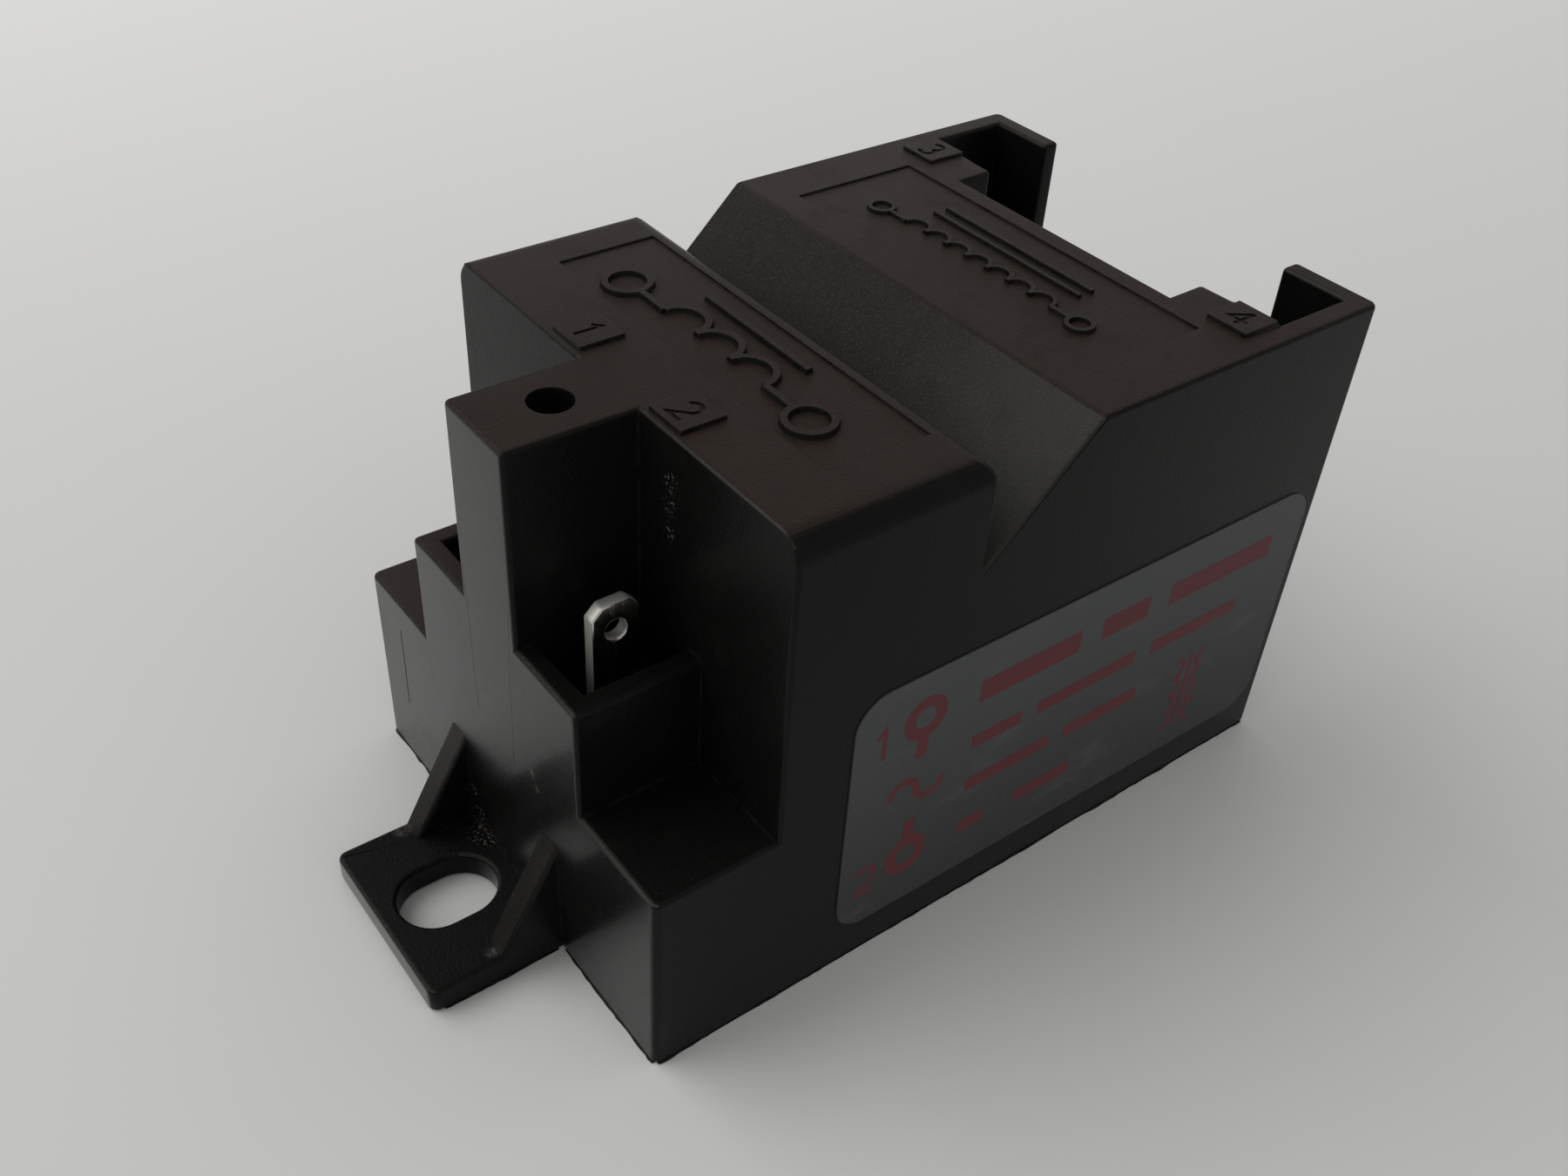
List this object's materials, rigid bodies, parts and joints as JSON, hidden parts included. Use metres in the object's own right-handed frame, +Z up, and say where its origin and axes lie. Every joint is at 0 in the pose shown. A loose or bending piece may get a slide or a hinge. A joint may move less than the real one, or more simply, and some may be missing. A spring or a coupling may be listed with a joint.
{
  "type": "ignition transformer",
  "caption": "Potted high-voltage ignition transformer in a dark moulded housing with stepped terminal recesses, a V-groove across the top, guarded high-voltage pockets and slotted lugs",
  "frame": {"origin": "centre of the bounding box's underside, on the plane that the block stands on", "axes": "X along the block from the primary end with its lug (-X) to the high-voltage end (+X), Y across it with the label on the -Y side, Z up"},
  "size_m": [0.0566, 0.0317, 0.0325],
  "materials": {
    "dark_moulding": "dark brown-black glass-filled moulding with a fine eroded texture",
    "cast_resin": "cast potting resin, glossy and slightly uneven",
    "ferrite": "sintered ferrite, dark grey",
    "pale_plastic": "natural-coloured moulded plastic",
    "enamelled_copper": "enamelled copper wire",
    "yellow_tape": "thin polyester tape",
    "tinned_brass": "tin-plated brass, dull silver",
    "printed_label": "grey printed film"
  },
  "bodies": {
    "root": {"housing": "dark_moulding", "potting_resin": "cast_resin", "ferrite_rod": "ferrite", "primary_sleeve": "pale_plastic", "primary_winding": "enamelled_copper", "insulation_tape": "yellow_tape", "chambered_former": "pale_plastic", "secondary_winding_1": "enamelled_copper", "secondary_winding_2": "enamelled_copper", "secondary_winding_3": "enamelled_copper", "secondary_winding_4": "enamelled_copper", "secondary_winding_5": "enamelled_copper", "secondary_winding_6": "enamelled_copper", "secondary_winding_7": "enamelled_copper", "primary_tab_1": "tinned_brass", "primary_tab_2": "tinned_brass", "high_voltage_tab_1": "tinned_brass", "high_voltage_tab_2": "tinned_brass", "primary_lead_1": "enamelled_copper", "primary_lead_2": "enamelled_copper", "high_voltage_lead_1": "enamelled_copper", "high_voltage_lead_2": "enamelled_copper", "label": "printed_label"}
  },
  "joints": []
}
